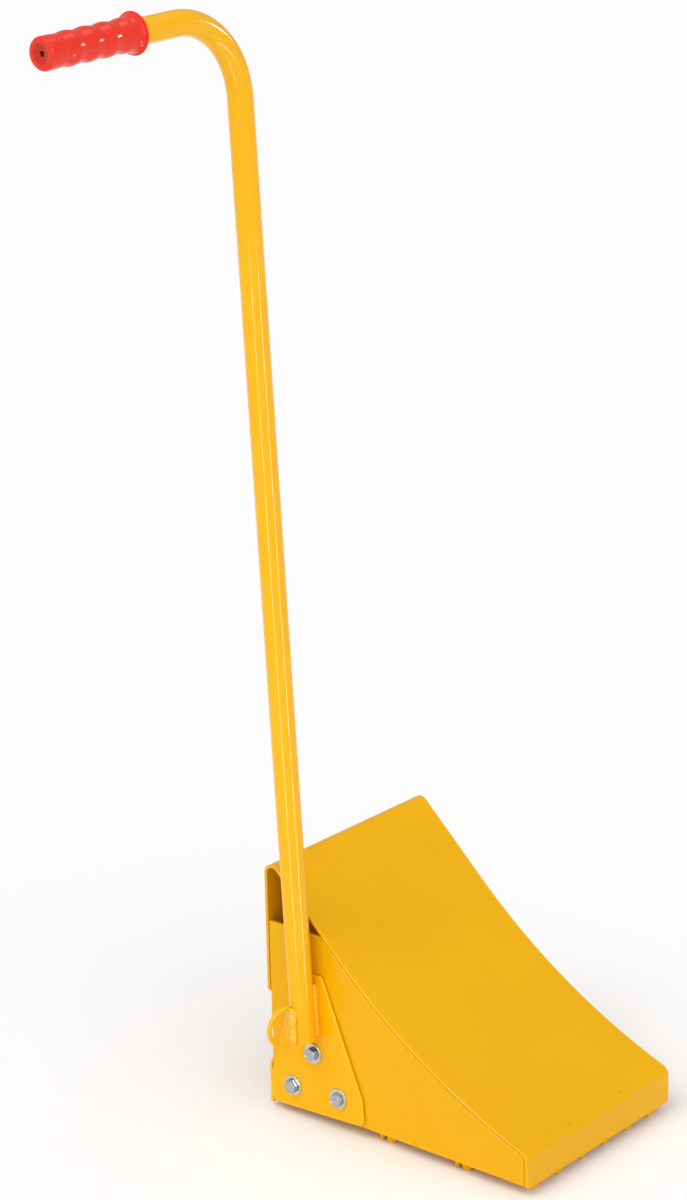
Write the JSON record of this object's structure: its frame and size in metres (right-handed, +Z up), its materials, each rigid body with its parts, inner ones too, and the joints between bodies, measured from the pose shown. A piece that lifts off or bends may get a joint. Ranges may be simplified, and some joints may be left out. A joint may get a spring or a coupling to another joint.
{
  "type": "wheel chock",
  "caption": "Yellow sheet steel wheel chock with a tall bent tube handle bolted to its side, a red finger grip, a chain ring and a toothed base.",
  "frame": {"origin": "on the ground, at the tips of the base teeth, under the middle of the chock's footprint, halfway between heel and toe and between the two sides", "axes": "+X to the toe, +Y to the side away from the handle, +Z up; the handle's grip reaches out in -Y"},
  "size_m": [0.3449, 0.5172, 1.1571],
  "materials": {
    "yellow_powder_coat": "semi-gloss powder coat",
    "red_vinyl": "glossy dipped vinyl",
    "zinc_steel": "zinc plated"
  },
  "bodies": {
    "root": {"ramp_plate": "yellow_powder_coat", "handle_side_plate": "yellow_powder_coat", "far_side_plate": "yellow_powder_coat", "base_plate": "yellow_powder_coat", "heel_plate": "yellow_powder_coat", "handle_bracket": "yellow_powder_coat", "handle_tube": "yellow_powder_coat", "grip": "red_vinyl", "chain_ring": "yellow_powder_coat", "tube_weld_front": "yellow_powder_coat", "tube_weld_rear": "yellow_powder_coat", "ring_weld_front": "yellow_powder_coat", "ring_weld_rear": "yellow_powder_coat", "upper_bolt": "zinc_steel", "rear_bolt": "zinc_steel", "front_bolt": "zinc_steel", "upper_outer_washer": "zinc_steel", "rear_outer_washer": "zinc_steel", "front_outer_washer": "zinc_steel", "upper_inner_washer": "zinc_steel", "rear_inner_washer": "zinc_steel", "front_inner_washer": "zinc_steel", "upper_lock_nut": "zinc_steel", "rear_lock_nut": "zinc_steel", "front_lock_nut": "zinc_steel", "handle_side_ramp_weld_1": "yellow_powder_coat", "handle_side_ramp_weld_2": "yellow_powder_coat", "handle_side_ramp_weld_3": "yellow_powder_coat", "far_side_ramp_weld_1": "yellow_powder_coat", "far_side_ramp_weld_2": "yellow_powder_coat", "far_side_ramp_weld_3": "yellow_powder_coat", "handle_side_base_weld_1": "yellow_powder_coat", "handle_side_base_weld_2": "yellow_powder_coat", "far_side_base_weld_1": "yellow_powder_coat", "far_side_base_weld_2": "yellow_powder_coat", "handle_side_flange_weld": "yellow_powder_coat", "far_side_flange_weld": "yellow_powder_coat", "handle_side_heel_weld": "yellow_powder_coat", "far_side_heel_weld": "yellow_powder_coat", "base_toe_weld": "yellow_powder_coat", "base_heel_weld": "yellow_powder_coat"}
  },
  "joints": []
}
